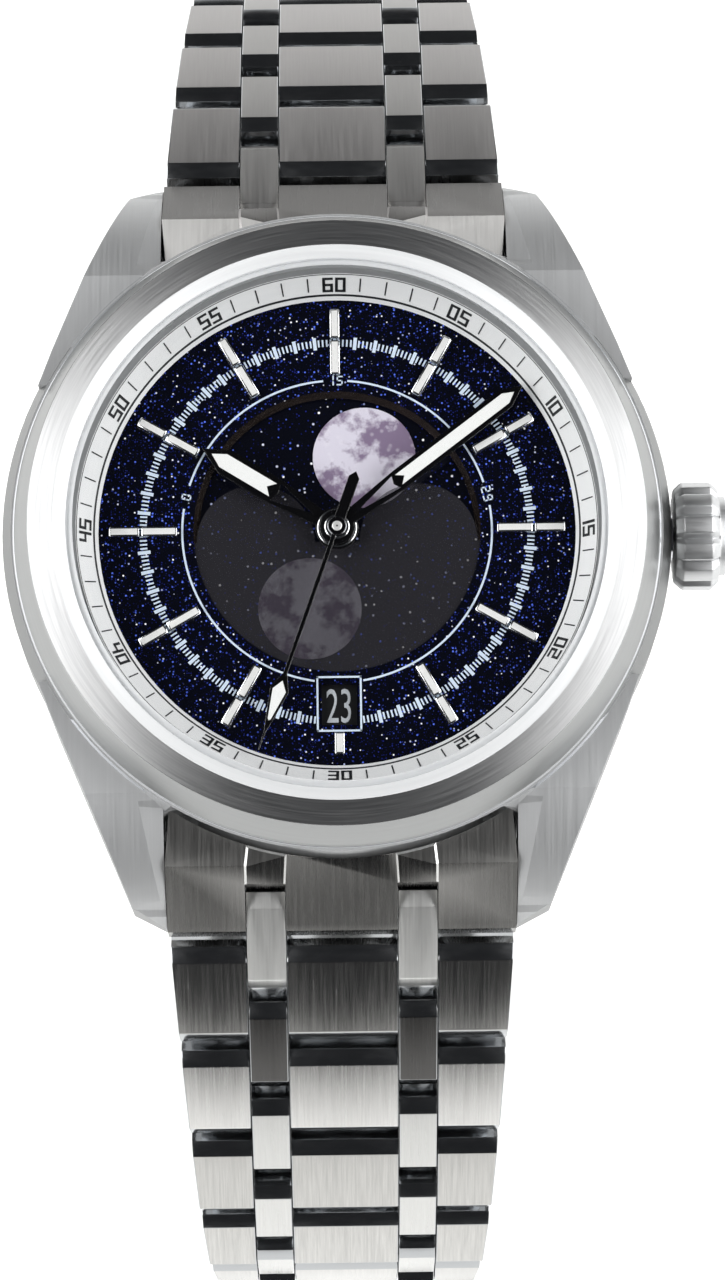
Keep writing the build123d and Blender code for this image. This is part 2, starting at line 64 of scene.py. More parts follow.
# Camera. The watch is seen from over its 6 o'clock side, 290 mm away, so
# that the dial leans back by 13 degrees.
mm = 0.001
camera_tilt = math.radians(13.15)
camera_roll = math.radians(0.7)
camera_away = 290 * mm
glass_z = 11.5 * mm
eye = Vector((0, 0, glass_z)) + camera_away * Vector((0, -math.sin(camera_tilt),
                                                      math.cos(camera_tilt)))
aim_x, aim_y = 1.48 * mm, -7.7 * mm
aim = Vector((aim_x, aim_y, glass_z))
camera = bpy.data.objects.new("camera", bpy.data.cameras.new("camera"))
camera.data.sensor_fit = "VERTICAL"
camera.data.sensor_height = 36
camera.data.lens = 131.6
turn = (aim - eye).to_track_quat("-Z", "Y").to_matrix().to_4x4()
camera.matrix_world = Matrix.Translation(eye) @ turn @ Matrix.Rotation(camera_roll, 4, "Z")
bpy.context.scene.collection.objects.link(camera)
bpy.context.scene.camera = camera


# Studio. A flat matt white board lies under the watch, and a long softbox
# hangs at each side, turned to its middle. The room is dark overhead, and
# bright at both sides and low down.
def linear(hex_colour):
    """An sRGB hex colour as the linear RGBA that the shaders take."""
    shares = [int(hex_colour[i:i + 2], 16) / 255 for i in (0, 2, 4)]
    return [s / 12.92 if s <= 0.04045 else ((s + 0.055) / 1.055) ** 2.4 for s in shares] + [1]


def add_node(tree, kind, inputs=None, **settings):
    """A shader node with its settings, and with values or links on its inputs."""
    made = tree.nodes.new(kind)
    for key, value in settings.items():
        setattr(made, key, value)
    for socket, value in (inputs or {}).items():
        if isinstance(value, bpy.types.NodeSocket):
            tree.links.new(value, made.inputs[socket])
        else:
            made.inputs[socket].default_value = value
    return made


def new_finish(name, colour, roughness, metallic=0.0, **sockets):
    """A material with its shader; more sockets are given by their own names."""
    material = bpy.data.materials.new(name)
    material.use_nodes = True
    shader = material.node_tree.nodes["Principled BSDF"]
    shader.inputs["Base Color"].default_value = linear(colour)
    shader.inputs["Roughness"].default_value = roughness
    shader.inputs["Metallic"].default_value = metallic
    for socket, value in sockets.items():
        shader.inputs[socket.replace("_", " ")].default_value = value
    return material, material.node_tree, shader


def new_piece(name, shape, finishes):
    """Turns a bmesh into a piece that has the given finishes."""
    mesh = bpy.data.meshes.new(name)
    shape.to_mesh(mesh)
    shape.free()
    if "custom_normal" in mesh.attributes:
        mesh.attributes.remove(mesh.attributes["custom_normal"])
    for finish in finishes:
        mesh.materials.append(finish)
    piece = bpy.data.objects.new(name, mesh)
    bpy.context.scene.collection.objects.link(piece)
    return piece


# Matt board: a plain, evenly white ground that only the shadow marks.
board, tree, shader = new_finish("matt_white_board", "f6f6f5", 0.9, 0.0, Emission_Strength=0.35)
speckle = add_node(tree, "ShaderNodeTexNoise", {"Scale": 900.0, "Detail": 3.0})
paper = add_node(tree, "ShaderNodeMix", {"Factor": speckle.outputs["Fac"], "A": linear("f3f3f2"),
                                         "B": linear("fafaf9")}, data_type="RGBA")
tree.links.new(paper.outputs["Result"], shader.inputs["Base Color"])
tree.links.new(paper.outputs["Result"], shader.inputs["Emission Color"])
floor_half, floor_gap = 1.6, 0.2 * mm
ground = bmesh.new()
bmesh.ops.create_grid(ground, x_segments=1, y_segments=1, size=floor_half,
                      matrix=Matrix.Translation((0, 0, cad_box[0][2] - floor_gap)))
floor = new_piece("floor", ground, [board])
softbox_out, softbox_up = 0.42, 0.34
softbox_width, softbox_depth, softbox_watts = 0.62, 0.34, 2.7
for side, across in (("left", -softbox_out), ("right", softbox_out)):
    lamp = bpy.data.lights.new("softbox_" + side, "AREA")
    lamp.shape = "RECTANGLE"
    lamp.size = softbox_width
    lamp.size_y = softbox_depth
    lamp.energy = softbox_watts
    light = bpy.data.objects.new("softbox_" + side, lamp)
    place = Vector((across, 0, softbox_up))
    facing = (Vector((0, 0, 0)) - place).to_track_quat("-Z", "Y").to_matrix().to_4x4()
    light.matrix_world = Matrix.Translation(place) @ facing
    bpy.context.scene.collection.objects.link(light)
world = bpy.data.worlds.new("studio")
world.use_nodes = True
room = world.node_tree
ways = add_node(room, "ShaderNodeTexCoord").outputs["Generated"]
sky = add_node(room, "ShaderNodeSeparateXYZ", {0: ways})
sideways = add_node(room, "ShaderNodeMath", {0: sky.outputs["X"]}, operation="ABSOLUTE")
bright_ways = []
for way, fade_start, fade_end in ((sideways.outputs[0], 0.42, 0.7),
                                  (sky.outputs["Z"], 0.12, -0.06)):
    fade = add_node(room, "ShaderNodeMapRange",
                    {"Value": way, "From Min": fade_start, "From Max": fade_end},
                    interpolation_type="SMOOTHSTEP")
    bright_ways.append(fade.outputs["Result"])
either = add_node(room, "ShaderNodeMath", {0: bright_ways[0], 1: bright_ways[1]},
                  operation="MAXIMUM")
glow = add_node(room, "ShaderNodeMix", {"Factor": either.outputs[0], "A": linear("303133"),
                                        "B": linear("fbfbfa")}, data_type="RGBA")
background = room.nodes["Background"]
room.links.new(glow.outputs["Result"], background.inputs["Color"])
background.inputs["Strength"].default_value = 0.95
bpy.context.scene.world = world
bpy.context.scene.view_settings.view_transform = "Standard"
bpy.context.scene.view_settings.exposure = 0.0


# Case. The case middle and its four lugs, milled from one block of steel.
# It is satin on its tops and sides, with polished edges along the lugs.
def straight_lines(tree, sizes_mm):
    """A noise vector whose grains have the given sizes along X, Y and Z."""
    place = add_node(tree, "ShaderNodeTexCoord").outputs["Object"]
    fine = add_node(tree, "ShaderNodeMapping",
                    {"Vector": place, "Scale": [1 / (size * mm) for size in sizes_mm]})
    return fine.outputs["Vector"]


def brushed(tree, shader, lines, depth_mm, rough, tones):
    """Fine brush lines, from the noise vector given, in colour, roughness and relief."""
    grain = add_node(tree, "ShaderNodeTexNoise",
                     {"Vector": lines, "Scale": 1.0, "Detail": 4.0, "Roughness": 0.65})
    haze = add_node(tree, "ShaderNodeMapRange",
                    {"Value": grain.outputs["Fac"], "From Min": 0.25, "From Max": 0.75,
                     "To Min": rough[0], "To Max": rough[1]})
    tree.links.new(haze.outputs["Result"], shader.inputs["Roughness"])
    shade = add_node(tree, "ShaderNodeMix", {"Factor": grain.outputs["Fac"], "A": linear(tones[0]),
                                             "B": linear(tones[1])}, data_type="RGBA")
    tree.links.new(shade.outputs["Result"], shader.inputs["Base Color"])
    relief = add_node(tree, "ShaderNodeBump", {"Height": grain.outputs["Fac"], "Strength": 1.0,
                                               "Distance": depth_mm * mm})
    tree.links.new(relief.outputs["Normal"], shader.inputs["Normal"])


def hazed(tree, shader, lines, rough):
    """Roughness that wanders between two values, from the noise vector given."""
    smear = add_node(tree, "ShaderNodeTexNoise", {"Vector": lines, "Scale": 1.0})
    haze = add_node(tree, "ShaderNodeMapRange", {"Value": smear.outputs["Fac"],
                                                 "To Min": rough[0], "To Max": rough[1]})
    tree.links.new(haze.outputs["Result"], shader.inputs["Roughness"])


weld = 0.0005 * mm


def all_parts(shape):
    """Every point, edge and face, as a saw cut through the whole shape takes them."""
    return shape.verts[:] + shape.edges[:] + shape.faces[:]


def eased_copy(name, node_name, finishes, finish_of=lambda normal, centre: 0, ease_mm=0.1,
               reshape=None, smooth_deg=32):
    """A CAD node's shape with its sharp edges eased, and a finish for each face."""
    merge, flat_deg, sharp_deg = 0.001 * mm, 0.6, 24
    shape = bmesh.new()
    shape.from_mesh(nodes[node_name].data)
    bmesh.ops.remove_doubles(shape, verts=shape.verts, dist=merge)
    bmesh.ops.dissolve_limit(shape, angle_limit=math.radians(flat_deg), verts=shape.verts,
                             edges=shape.edges)
    if reshape:
        reshape(shape)
        bmesh.ops.dissolve_degenerate(shape, dist=2 * merge, edges=shape.edges)
        shape.normal_update()
    sharp = [edge for edge in shape.edges
             if len(edge.link_faces) == 2 and edge.calc_face_angle(0) > math.radians(sharp_deg)]
    bmesh.ops.bevel(shape, geom=sharp, offset=ease_mm * mm, offset_type="OFFSET", affect="EDGES",
                    segments=2, profile=0.5, material=-1, clamp_overlap=True)
    shape.normal_update()
    for face in shape.faces:
        face.material_index = finish_of(face.normal, face.calc_center_median())
        face.smooth = True
    for edge in shape.edges:
        if len(edge.link_faces) == 2:
            edge.smooth = edge.calc_face_angle(0) < math.radians(smooth_deg)
    return new_piece(name, shape, finishes)


# Satin steel: the lugs' tops stay an even grey, with faint lines lengthwise.
case_satin, tree, shader = new_finish("satin_case_steel", "c6c7c8", 0.6, 1.0)
brushed(tree, shader, straight_lines(tree, (0.12, 7.0, 7.0)), depth_mm=0.003,
        rough=(0.54, 0.64), tones=("bcbdbe", "cfd0d1"))
# Mirror polish: thin edges that flash white or go dark.
mirror_steel, tree, shader = new_finish("mirror_polished_steel", "d4d6d9", 0.06, 1.0)
hazed(tree, shader, straight_lines(tree, (1.6, 1.6, 1.6)), rough=(0.04, 0.11))
# Darker satin: a copy of the case steel darkened by painted shade, so the side
# walls read as a grey band against the white board.
waist_painted_shade, tree, shader = new_finish("case_waist_steel_painted_shade", "8e8f8f", 0.4, 1.0)
brushed(tree, shader, straight_lines(tree, (7.0, 7.0, 0.12)), depth_mm=0.002,
        rough=(0.36, 0.46), tones=("868787", "959696"))


def cut_away(shape, point_mm, normal):
    """Saws off what lies past a plane, and closes the cut."""
    sawn = bmesh.ops.bisect_plane(shape, geom=all_parts(shape), dist=weld, clear_outer=True,
                                  plane_co=[value * mm for value in point_mm], plane_no=normal)
    rim = [part for part in sawn["geom_cut"] if isinstance(part, bmesh.types.BMEdge)]
    bmesh.ops.holes_fill(shape, edges=rim, sides=0)


def shaped_lugs(shape):
    """Straight lug sides that touch the round, lug ends cut aslant, a ridge on each lug
    and a case wall between the lugs that stands back under the bezel."""
    side_cut = ((16.44, 15.1), (0.922, 0.387))
    end_cut = ((11.0, 24.15), (0.456, 0.89))
    ridge_x, ridge_y, ridge_drop = 11.05, 24.1, 0.28
    edge_x, edge_y = (10.9, 11.3), (17.2, 23.4)
    wall_x, wall_y, wall_foot, wall_r, old_wall = 10.97, 15, 5.05, 19.6, (20.5, 21.1)
    for across in (1, -1):
        for along in (1, -1):
            for (x, y), (out_x, out_y) in (side_cut, end_cut):
                cut_away(shape, (across * x, along * y, 0), (across * out_x, along * out_y, 0))
            bmesh.ops.bisect_plane(shape, geom=all_parts(shape), dist=weld,
                                   plane_co=(across * ridge_x * mm, along * ridge_y * mm, 0),
                                   plane_no=(across * 0.978, along * 0.209, 0))
    shape.normal_update()
    for vert in shape.verts:
        x, y = abs(vert.co.x) / mm, abs(vert.co.y) / mm
        on_inner_edge = edge_x[0] < x < edge_x[1] and edge_y[0] < y < edge_y[1]
        if on_inner_edge and any(face.normal.z > 0.4 for face in vert.link_faces):
            vert.co.z -= ridge_drop * mm
        radius = math.hypot(x, y)
        on_old_wall = x < wall_x and y > wall_y and old_wall[0] < radius < old_wall[1]
        if on_old_wall and vert.co.z > wall_foot * mm:
            vert.co.x, vert.co.y = vert.co.x * wall_r / radius, vert.co.y * wall_r / radius


def case_finish(normal, centre):
    """Satin darkened by painted shade on the side walls and waist, polished edges along the lugs,
    satin tops.
    """
    lug_in, waist_r, waist_y = 12 * mm, 21.6 * mm, 12 * mm
    if abs(normal.x) > 0.42 and abs(centre.x) > lug_in:
        at_waist = math.hypot(centre.x, centre.y) < waist_r and abs(centre.y) < waist_y
        if normal.z < 0.3 or at_waist:
            return 2
        return 1 if normal.z < 0.9 else 0
    return 0


case_body = eased_copy("case_body", "case_middle", [case_satin, mirror_steel, waist_painted_shade],
                       case_finish, ease_mm=0.12, reshape=shaped_lugs, smooth_deg=9)
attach(case_body, "head")
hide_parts("case_middle")


# Case back. A screwed steel cover with six key notches in its rim, turned
# and left with circular brush lines.
def round_lines(tree, spacing_mm, turns):
    """A noise vector whose grains run round the dial's middle."""
    place = add_node(tree, "ShaderNodeTexCoord").outputs["Object"]
    flat = add_node(tree, "ShaderNodeVectorMath", {0: place, 1: (1, 1, 0)}, operation="MULTIPLY")
    radius = add_node(tree, "ShaderNodeVectorMath", {0: flat.outputs[0]}, operation="LENGTH")
    fine = add_node(tree, "ShaderNodeMath", {0: radius.outputs["Value"], 1: 1 / (spacing_mm * mm)},
                    operation="MULTIPLY")
    parts = add_node(tree, "ShaderNodeSeparateXYZ", {0: place})
    angle = add_node(tree, "ShaderNodeMath", {0: parts.outputs["Y"], 1: parts.outputs["X"]},
                     operation="ARCTAN2")
    slow = add_node(tree, "ShaderNodeMath", {0: angle.outputs[0], 1: turns}, operation="MULTIPLY")
    rings = add_node(tree, "ShaderNodeCombineXYZ", {0: fine.outputs[0], 1: slow.outputs[0]})
    return rings.outputs[0]


# Turned steel: rings of fine lines that spread the light round the middle.
back_satin, tree, shader = new_finish("turned_case_back_steel", "bfc1c4", 0.32, 1.0)
brushed(tree, shader, round_lines(tree, 0.14, 2.0), depth_mm=0.004,
        rough=(0.26, 0.38), tones=("a9abae", "cdced0"))
back_cover = eased_copy("back_cover", "case_back", [back_satin])
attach(back_cover, "head")
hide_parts("case_back")


# Bezel. A turned steel ring pressed round the crystal: a flat top brushed
# round the dial, a satin flank outside it and a frosted bevel inside it.
def turned_ring(name, profile_mm, finishes, finish_of=lambda radius, height, normal: 0,
                segments=180, ease_mm=0.0):
    """Spins a closed profile of (radius, height) points about the dial's middle."""
    smooth_deg = 18
    shape = bmesh.new()
    points = [shape.verts.new((r * mm, 0, z * mm)) for r, z in profile_mm]
    for i, point in enumerate(points):
        shape.edges.new((point, points[(i + 1) % len(points)]))
    if ease_mm:
        bmesh.ops.bevel(shape, geom=points, offset=ease_mm * mm, offset_type="OFFSET",
                        affect="VERTICES", segments=3, profile=0.5, material=-1)
    bmesh.ops.spin(shape, geom=shape.verts[:] + shape.edges[:], cent=(0, 0, 0), axis=(0, 0, 1),
                   angle=2 * math.pi, steps=segments, use_merge=True, use_duplicate=False)
    bmesh.ops.remove_doubles(shape, verts=shape.verts, dist=weld)
    bmesh.ops.recalc_face_normals(shape, faces=shape.faces)
    for face in shape.faces:
        centre = face.calc_center_median()
        face.material_index = finish_of(centre.xy.length / mm, centre.z / mm, face.normal)
        face.smooth = True
    for edge in shape.edges:
        if len(edge.link_faces) == 2:
            edge.smooth = edge.calc_face_angle(0) < math.radians(smooth_deg)
    return new_piece(name, shape, finishes)


# Circular brushing: the light gathers in a bright fan at 3 and 9, and the
# ring goes dark at 12 and 6.
ring_satin, tree, shader = new_finish("circular_brushed_steel", "d0d2d4", 0.25, 1.0,
                                      Anisotropic=0.85, Anisotropic_Rotation=0.25)
brushed(tree, shader, round_lines(tree, 0.12, 3.0), depth_mm=0.004,
        rough=(0.38, 0.55), tones=("cccdce", "ffffff"))
around = add_node(tree, "ShaderNodeTangent", direction_type="RADIAL", axis="Z")
tree.links.new(around.outputs["Tangent"], shader.inputs["Tangent"])
# Frosting: a bevel that stays bright all round.
bright_bevel, tree, shader = new_finish("frosted_inner_bevel_steel", "eceeef", 0.5, 0.35)
brushed(tree, shader, round_lines(tree, 0.3, 1.0), depth_mm=0.002,
        rough=(0.46, 0.56), tones=("e4e6e7", "f6f7f8"))
# Satin flank: a calm grey band, darkened by painted shade, between two bright lines.
flank_painted_shade, tree, shader = new_finish("bezel_flank_steel_painted_shade", "9fa0a0", 0.34, 1.0)
brushed(tree, shader, round_lines(tree, 0.1, 2.0), depth_mm=0.002,
        rough=(0.3, 0.4), tones=("979898", "a8a9a9"))
low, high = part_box("bezel")
bezel_foot, bezel_top, bezel_r = low[2] / mm, high[2] / mm, high[0] / mm
foot_chamfer, bevel_drop, ring_ease = 0.13, 0.3, 0.04
bevel_in_r, bevel_out_r, ring_out_r = 16.86, 17.65, 19.25


def bezel_finish(radius, height, normal):
    """Brushed on top, frosted inside, satin with painted shade on the flank, polished at its foot.
    """
    if normal.z > 0.99 and radius > bevel_out_r - ring_ease:
        return 1
    if radius < bevel_out_r:
        return 2
    return 0 if height < bezel_foot + foot_chamfer else 3


bezel_piece = turned_ring(
    "bezel_ring",
    [(bevel_in_r, bezel_foot), (bezel_r, bezel_foot),
     (bezel_r - foot_chamfer, bezel_foot + foot_chamfer), (ring_out_r, bezel_top),
     (bevel_out_r, bezel_top), (bevel_in_r, bezel_top - bevel_drop)],
    [mirror_steel, ring_satin, bright_bevel, flank_painted_shade], bezel_finish, ease_mm=ring_ease)
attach(bezel_piece, "head")
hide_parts("bezel")


# Crystal. A flat disc of sapphire with a bevel ground round its top edge. The
# bezel holds it, and the dial shows through almost as if it weren't there.
def toned(tree, shader, lines, tones, detail=2.0):
    """Colour that wanders between two tones, from the noise vector given."""
    patches = add_node(tree, "ShaderNodeTexNoise",
                       {"Vector": lines, "Scale": 1.0, "Detail": detail})
    tone = add_node(tree, "ShaderNodeMix", {"Factor": patches.outputs["Fac"], "A": linear(tones[0]),
                                            "B": linear(tones[1])}, data_type="RGBA")
    tree.links.new(tone.outputs["Result"], shader.inputs["Base Color"])


# Clear sapphire: no colour of its own, only a faint reflection.
sapphire, tree, shader = new_finish("clear_sapphire", "000000", 0.02, 0.0, Alpha=0.05, IOR=1.77)
# Ground edge: a white misty line round the glass.
ground_edge, tree, shader = new_finish("ground_sapphire_edge", "f6f8fa", 0.3, 0.0, Alpha=0.62,
                                       IOR=1.77)
toned(tree, shader, round_lines(tree, 0.12, 6.0), tones=("dfe3e7", "ffffff"))
low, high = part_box("crystal")
glass_r, glass_foot, glass_top = high[0] / mm, low[2] / mm, high[2] / mm
glass_bevel_h, glass_bevel_w, axis_r = 0.3, 0.42, 0.02
crystal_disc = turned_ring(
    "crystal_disc",
    [(axis_r, glass_foot), (glass_r, glass_foot), (glass_r, glass_top - glass_bevel_h),
     (glass_r - glass_bevel_w, glass_top), (axis_r, glass_top)],
    [sapphire, ground_edge],
    lambda radius, height, normal: 1 if 0.2 < normal.z < 0.9 else 0)
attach(crystal_disc, "head")
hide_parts("crystal")


# Chapter ring. A sloped ring, silvered and grained, that carries the printed
# minute ticks and the squared numerals from 05 to 60.

# Silvered paint: a soft white that doesn't mirror the bezel.
silvered, tree, shader = new_finish("silvered_ring_paint", "f3f4f5", 0.45, 0.0)
brushed(tree, shader, round_lines(tree, 0.2, 3.0), depth_mm=0.001,
        rough=(0.4, 0.52), tones=("eceeef", "fafbfb"))
# Black ink: crisp marks with hardly a shine.
ring_ink, tree, shader = new_finish("black_printing_ink", "16181b", 0.45)
toned(tree, shader, straight_lines(tree, (0.3, 0.3, 0.3)), tones=("101215", "24272b"))
low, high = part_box("chapter_ring")
chapter_out, chapter_foot, chapter_top = high[0] / mm, low[2] / mm, high[2] / mm
chapter_w = 1.35
chapter_in = chapter_out - chapter_w
chapter_slope = math.atan2(chapter_top - chapter_foot, chapter_out - chapter_in)
slope_len = math.hypot(chapter_top - chapter_foot, chapter_out - chapter_in)
nodes["chapter_ring"].material_slots[0].material = silvered


def on_slope(clock_deg, up_mm, flipped=False):
    """The place on the ring's slope at a clock angle, with X across and Y up the slope."""
    along = up_mm / slope_len
    lift = 0.022
    radius = chapter_in + along * (chapter_out - chapter_in) - lift * math.sin(chapter_slope)
    height = chapter_foot + along * (chapter_top - chapter_foot) + lift * math.cos(chapter_slope)
    place = (Matrix.Rotation(-math.radians(clock_deg), 4, "Z")
             @ Matrix.Translation((0, radius * mm, height * mm)))
    upside = Matrix.Rotation(math.pi if flipped else 0, 4, "Z")
    return place @ Matrix.Rotation(chapter_slope, 4, "X") @ upside


strokes_of = {"0": "abcdef", "1": "bc", "2": "abged", "3": "abgcd", "4": "fgbc", "5": "afgcd",
              "6": "afgedc", "7": "abc", "8": "abcdefg", "9": "abfgcd"}


def bar(shape, place, x, y, width, height):
    """A thin printed rectangle in the plane of the place given, sizes in mm."""
    size = Matrix.Diagonal((width * mm, height * mm, 1, 1))
    bmesh.ops.create_grid(shape, x_segments=1, y_segments=1, size=0.5,
                          matrix=place @ Matrix.Translation((x * mm, y * mm, 0)) @ size)


def squared_number(shape, place, digits, height, line):
    """Digits drawn with straight strokes and square corners, centred on the place."""
    width, space = 0.62 * height, 0.28 * height
    half_w, half_h = (width - line) / 2, (height - line) / 2
    side_len = half_h + line
    ends = {"a": (0, half_h, width, line), "g": (0, 0, width, line), "d": (0, -half_h, width, line),
            "b": (half_w, half_h / 2, line, side_len), "c": (half_w, -half_h / 2, line, side_len),
            "f": (-half_w, half_h / 2, line, side_len), "e": (-half_w, -half_h / 2, line, side_len)}
    for index, digit in enumerate(digits):
        middle = (index - (len(digits) - 1) / 2) * (width + space)
        for stroke in strokes_of[digit]:
            x, y, w, h = ends[stroke]
            bar(shape, place, middle + x, y, w, h)


tick_up, tick_w, tick_len = slope_len * 0.6, 0.085, 1.0
digit_up, digit_h, digit_line = slope_len * 0.58, 1.08, 0.18
digit_aside, digit_r = 0.4, chapter_in + 0.7
print_shape = bmesh.new()
for minute in range(60):
    clock = 6 * minute
    if minute % 5:
        bar(print_shape, on_slope(clock, tick_up), 0, 0, tick_w, tick_len)
        continue
    in_lower_half = 100 < clock < 260
    aside_deg = math.degrees(digit_aside / digit_r)
    for digit, side in zip("%02d" % (minute or 60), (1, -1) if in_lower_half else (-1, 1)):
        squared_number(print_shape, on_slope(clock + side * aside_deg, digit_up, in_lower_half),
                       digit, digit_h, digit_line)
ring_print = new_piece("ring_print", print_shape, [ring_ink])
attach(ring_print, "head")


def edge_line(name, share, width_mm):
    """A thin black circle on the ring's slope, at a share of its height."""
    lift, thickness = 0.012, 0.01
    r = chapter_in + share * (chapter_out - chapter_in) - lift
    z = chapter_foot + share * (chapter_top - chapter_foot) + lift
    run, rise = width_mm * math.cos(chapter_slope), width_mm * math.sin(chapter_slope)
    profile = [(r, z), (r + run, z + rise), (r + run + thickness, z + rise - thickness),
               (r + thickness, z - thickness)]
    line = turned_ring(name, profile, [ring_ink])
    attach(line, "head")


edge_line("inner_edge_line", share=0.16, width_mm=0.15)
edge_line("outer_edge_line", share=0.95, width_mm=0.05)


# Dial. A disc of aventurine glass: near black with copper flecks that shine
# blue and, here and there, white. Pale blue scales are printed on it.
def flecked(name, ground, blue_mm, blue_share, white_mm, white_share, glow):
    """Dark glass with three layers of bright flecks, which also glow by the strength given: a
    painted glint with no lamp. Real flecks are finer than a pixel, so these are drawn as coarse
    as the picture needs."""
    material, tree, shader = new_finish(name, ground, 0.12, 0.0, Emission_Strength=glow)
    place = add_node(tree, "ShaderNodeTexCoord").outputs["Object"]
    shown = linear(ground)
    # Each layer: the cells' spacing, the share of cells that shine, how far a
    # spot reaches in its cell, and its tones. Each lies over the one before.
    for spacing, share, reach, dark, bright in (
            (blue_mm * 0.6, blue_share * 1.4, 0.42, "080a24", "1b2575"),
            (blue_mm, blue_share, 0.34, "141a5c", "5b78f0"),
            (white_mm, white_share, 0.2, "6f7fb8", "ffffff")):
        cells = add_node(tree, "ShaderNodeTexVoronoi",
                         {"Vector": place, "Scale": 1 / (spacing * mm)},
                         voronoi_dimensions="3D", feature="F1")
        luck = add_node(tree, "ShaderNodeSeparateColor", {"Color": cells.outputs["Color"]})
        chosen = add_node(tree, "ShaderNodeMath", {0: luck.outputs["Red"], 1: 1 - share},
                          operation="GREATER_THAN")
        spot = add_node(tree, "ShaderNodeMapRange",
                        {"Value": cells.outputs["Distance"], "From Min": reach * 0.6,
                         "From Max": reach, "To Min": 1.0, "To Max": 0.0})
        light = add_node(tree, "ShaderNodeMath", {0: chosen.outputs[0], 1: spot.outputs["Result"]},
                         operation="MULTIPLY")
        tone = add_node(tree, "ShaderNodeMix", {"Factor": luck.outputs["Green"], "A": linear(dark),
                                                "B": linear(bright)}, data_type="RGBA")
        layer = add_node(tree, "ShaderNodeMix", {"Factor": light.outputs[0], "A": shown,
                                                 "B": tone.outputs["Result"]}, data_type="RGBA")
        shown = layer.outputs["Result"]
    tree.links.new(shown, shader.inputs["Base Color"])
    # Painted glow: the ground and flecks shine by themselves, with no lamp.
    tree.links.new(shown, shader.inputs["Emission Color"])
    return material


# Aventurine: a night blue that sparkles with the light, and with a painted glow of its own.
aventurine = flecked("blue_aventurine_glass", "05060f", blue_mm=0.21, blue_share=0.27,
                     white_mm=0.34, white_share=0.42, glow=0.35)
nodes["dial"].material_slots[0].material = aventurine
dial_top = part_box("dial")[1][2] / mm
# Pale ink: scales that read at once on the dark glass.
pale_ink, tree, shader = new_finish("pale_blue_printing_ink", "d3e4f6", 0.5)
toned(tree, shader, straight_lines(tree, (0.2, 0.2, 0.2)), tones=("c6daf0", "e6f1fd"))
ink_lift = 0.012


def on_dial(clock_deg, radius_mm):
    """The place on the dial at a clock angle, with Y outward."""
    turned = Matrix.Rotation(-math.radians(clock_deg), 4, "Z")
    return turned @ Matrix.Translation((0, radius_mm * mm, (dial_top + ink_lift) * mm))


scale_print = bmesh.new()
scale_r, scale_step, scale_gap = 12.15, 1.2, (173, 187)
for tick in range(300):
    clock = tick * scale_step
    if scale_gap[0] < clock < scale_gap[1]:
        continue
    mark_w, mark_len = (0.11, 0.45) if tick % 5 else (0.22, 0.8)
    bar(scale_print, on_dial(clock, scale_r), 0, 0, mark_w, mark_len)
age_r, age_line, age_step, age_gap = 9.7, 0.13, 1.5, (171, 189)
age_marks = ((0, "15", 5), (283.5, "0", 4.5), (76.5, "29", 4.5))
step_len = 2 * age_r * math.tan(math.radians(0.76))
for step in range(240):
    clock = step * age_step + age_step / 2
    by_mark = any(min(abs(clock - at), abs(clock - at - 360)) < room_deg
                  for at, text, room_deg in age_marks)
    if not by_mark and not age_gap[0] < clock < age_gap[1]:
        bar(scale_print, on_dial(clock, age_r), 0, 0, step_len, age_line)
age_digit_h, age_digit_line = 0.62, 0.09
for at, text, room_deg in age_marks:
    squared_number(scale_print, on_dial(at, age_r), text, age_digit_h, age_digit_line)
window_y = -11.05
frame_x, frame_y, frame_w, frame_h, frame_line = 1.35, 1.7, 2.82, 3.5, 0.12
for x, y, w, h in ((0, frame_y, frame_w, frame_line), (0, -frame_y, frame_w, frame_line),
                   (frame_x, 0, frame_line, frame_h), (-frame_x, 0, frame_line, frame_h)):
    bar(scale_print, Matrix.Translation((0, window_y * mm, (dial_top + ink_lift) * mm)), x, y, w, h)
dial_print = new_piece("dial_print", scale_print, [pale_ink])
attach(dial_print, "head")


# Hour markers. Split batons of polished steel, set on the dial by feet from
# behind, with eased edges that catch the light and frosted tops.

# Diamond cut: hard glints along each edge.
baton_steel, tree, shader = new_finish("diamond_cut_baton_steel", "e6e8ea", 0.12, 1.0)
hazed(tree, shader, straight_lines(tree, (0.5, 0.5, 0.5)), rough=(0.1, 0.24))
# Frosted silver: tops that stay white from every side.
frosted_top, tree, shader = new_finish("frosted_silver_baton_top", "f4f5f3", 0.45, 0.15)
brushed(tree, shader, straight_lines(tree, (0.2, 0.2, 0.2)), depth_mm=0.001,
        rough=(0.4, 0.5), tones=("eeefed", "fbfbfa"))
batons = eased_copy("marker_batons", "hour_markers", [baton_steel, frosted_top],
                    lambda normal, centre: 1 if normal.z > 0.97 else 0, ease_mm=0.13)
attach(batons, "head")
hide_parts("hour_markers")


# Moon window. A dark bevelled rim round the open part of the window, and a
# smoked film over its lower part with one hump at each side.

# Black nickel: a brownish shimmer that parts the dial from the sky.
rim_dark, tree, shader = new_finish("black_nickel_rim", "1d1715", 0.2, 0.6)
toned(tree, shader, round_lines(tree, 0.1, 4.0), tones=("14110f", "3c322d"))
nodes["aperture_ring"].material_slots[0].material = rim_dark
# Smoked film: charcoal that lets the hidden moon show as a dim disc.
smoked, tree, shader = new_finish("smoked_film", "424147", 0.4, 0.0, Alpha=0.42)
toned(tree, shader, straight_lines(tree, (0.15, 0.15, 0.15)), tones=("2b2a2f", "36353b"),
      detail=3.0)
nodes["moon_mask"].material_slots[0].material = smoked


# Moon disc. A disc printed as a night sky, with two moons that pass the
# window in turn. Their seas are soft patches of greyish purple print.

# Night sky: near black, with sparse white stars, all with a painted glow of their own.
night_sky = flecked("printed_night_sky", "06070f", blue_mm=0.24, blue_share=0.1,
                    white_mm=0.46, white_share=0.42, glow=0.4)
nodes["moon_disc"].material_slots[0].material = night_sky
